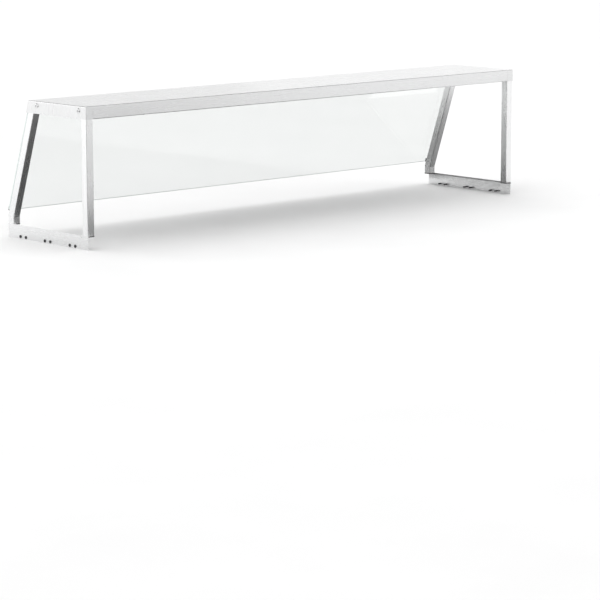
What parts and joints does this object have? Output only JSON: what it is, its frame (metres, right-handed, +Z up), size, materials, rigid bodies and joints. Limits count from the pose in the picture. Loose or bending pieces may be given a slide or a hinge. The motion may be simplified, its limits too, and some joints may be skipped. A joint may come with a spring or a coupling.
{
  "type": "sneeze guard",
  "caption": "Counter sneeze guard: folded steel overshelf on square tube end frames, with a leaning clear panel held at its top edge and by clips at its foot.",
  "frame": {"origin": "under the middle of the guard, level with the lower edges of the base plates", "axes": "+X along the counter, +Y towards the customer side with the glass, +Z up"},
  "size_m": [1.837, 0.389, 0.422],
  "materials": {
    "stainless_sheet": "satin brushed, grain along the length",
    "stainless_tube": "satin brushed, grain along the tube",
    "stainless_bar": "satin brushed, grain along the bar",
    "toughened_glass": "clear, polished edges",
    "edge_trim": "matt",
    "sealing_tape": "matt grey",
    "bright_fastener": "turned, bright",
    "black_fastener": "black oxide",
    "nylon": "moulded, matt black"
  },
  "bodies": {
    "root": {"top_shelf": "stainless_sheet", "shelf_stiffener": "stainless_sheet", "glass_clip_left": "stainless_sheet", "glass_clip_right": "stainless_sheet", "front_post_left": "stainless_tube", "front_post_right": "stainless_tube", "rear_post_left": "stainless_tube", "rear_post_right": "stainless_tube", "rear_foot_left": "stainless_tube", "rear_foot_right": "stainless_tube", "top_rail_left": "stainless_tube", "top_rail_right": "stainless_tube", "base_plate_left": "stainless_bar", "base_plate_right": "stainless_bar", "glass_panel": "toughened_glass", "glass_top_trim": "edge_trim", "clip_pad_left": "edge_trim", "clip_pad_right": "edge_trim", "glass_seal_left": "sealing_tape", "glass_seal_right": "sealing_tape", "clip_screw_left": "bright_fastener", "clip_screw_right": "bright_fastener", "shelf_bolts_left": "bright_fastener", "shelf_bolts_right": "bright_fastener", "shelf_washers_left": "bright_fastener", "shelf_washers_right": "bright_fastener", "shelf_nuts_left": "bright_fastener", "shelf_nuts_right": "bright_fastener", "counter_screws_left": "black_fastener", "counter_screws_right": "black_fastener", "front_foot_pad_left": "nylon", "front_foot_pad_right": "nylon", "rear_foot_pad_left": "nylon", "rear_foot_pad_right": "nylon"}
  },
  "joints": []
}
